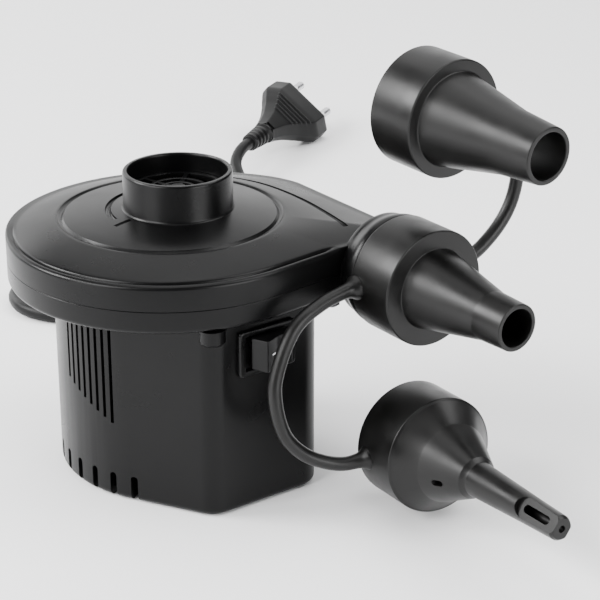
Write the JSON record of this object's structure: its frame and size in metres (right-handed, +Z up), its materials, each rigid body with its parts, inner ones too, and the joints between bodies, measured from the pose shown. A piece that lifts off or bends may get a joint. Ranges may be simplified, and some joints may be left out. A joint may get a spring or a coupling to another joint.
{
  "type": "electric air mattress pump",
  "caption": "Mains air pump for mattresses: round motor housing, flat blower casing with top inlet and side outlet, rocker switch, linked nozzle set and mains lead.",
  "frame": {"origin": "on the motor axis, at the foot of the housing", "axes": "+Z up along the motor axis, +X the way air leaves the outlet and the way the switch faces"},
  "size_m": [0.4184, 0.3106, 0.1397],
  "materials": {
    "shell": "black, fine texture",
    "gloss": "black, glossy",
    "soft": "black soft PVC, satin",
    "cord": "black PVC sheath",
    "steel": "bright steel",
    "lamination": "stacked electrical steel",
    "alloy": "die-cast",
    "copper": "enamelled copper",
    "brass": "plain brass",
    "bronze": "sintered bronze",
    "carbon": "carbon",
    "nylon": "natural nylon",
    "rubber": "soft rubber",
    "yellow": "yellow film box",
    "white": "white nylon",
    "blue": "blue PVC wire",
    "brown": "brown PVC wire",
    "red": "red PVC wire"
  },
  "bodies": {
    "pump_body": {"motor_housing": "shell", "volute_base": "shell", "volute_cover": "shell", "inlet_guard": "shell", "cord_clamp": "shell", "volute_screw_1": "steel", "volute_screw_2": "steel", "volute_screw_3": "steel", "housing_screw_1": "steel", "housing_screw_2": "steel", "housing_screw_3": "steel", "housing_screw_4": "steel", "motor_screw_a": "steel", "motor_screw_b": "steel", "motor_mount_screw_a": "steel", "motor_mount_screw_b": "steel", "brush_spring_a": "steel", "brush_spring_b": "steel", "plug_pin_a": "steel", "plug_pin_b": "steel", "rubber_mount_a": "rubber", "rubber_mount_b": "rubber", "stator_core": "lamination", "lower_bridge": "alloy", "upper_bridge": "alloy", "bearing_lower": "bronze", "bearing_upper": "bronze", "field_coil_a": "copper", "field_coil_b": "copper", "brush_holder_a": "brass", "brush_holder_b": "brass", "switch_terminal_a": "brass", "switch_terminal_b": "brass", "carbon_brush_a": "carbon", "carbon_brush_b": "carbon", "switch_body": "gloss", "suppression_capacitor": "yellow", "lead_live": "brown", "lead_neutral": "blue", "lead_motor": "red", "cord_grommet": "cord", "power_cord": "cord", "cord_coil": "cord", "cord_tail": "cord", "plug_body": "cord", "pin_sleeve_a": "white", "pin_sleeve_b": "white"},
    "rotor": {"shaft": "steel", "armature_core": "lamination", "armature_winding": "copper", "commutator": "copper", "cooling_fan": "nylon", "impeller": "nylon", "impeller_nut": "brass"},
    "rocker": {"switch_rocker": "gloss"},
    "nozzle_medium_body": {"nozzle_medium": "soft"},
    "nozzle_small_body": {"nozzle_small": "soft", "tether_small": "soft"},
    "nozzle_large_body": {"nozzle_large": "soft", "tether_large": "soft"}
  },
  "joints": [
    {"name": "rotor_spin", "type": "hinge", "parent": "pump_body", "child": "rotor", "pos_m": [0, 0, 0.04], "axis": [0, 0, 1], "continuous": true},
    {"name": "rocker_press", "type": "hinge", "parent": "pump_body", "child": "rocker", "pos_m": [0.0464, 0, 0.0535], "axis": [0, 0, -1], "range_deg": [0, 22]},
    {"name": "nozzle_pull", "type": "slide", "parent": "pump_body", "child": "nozzle_medium_body", "axis": [1, 0, 0], "range_m": [0, 0.02]},
    {"name": "small_strap_bend", "type": "hinge", "parent": "nozzle_medium_body", "child": "nozzle_small_body", "pos_m": [0.0574, 0.02432, 0.06968], "axis": [1, 0, 0], "range_deg": [-20, 30], "stiffness_Nm_per_rad": 0.25},
    {"name": "large_strap_bend", "type": "hinge", "parent": "nozzle_medium_body", "child": "nozzle_large_body", "pos_m": [0.061, 0.06668, 0.07052], "axis": [1, 0, 0], "range_deg": [-30, 25], "stiffness_Nm_per_rad": 0.25}
  ]
}
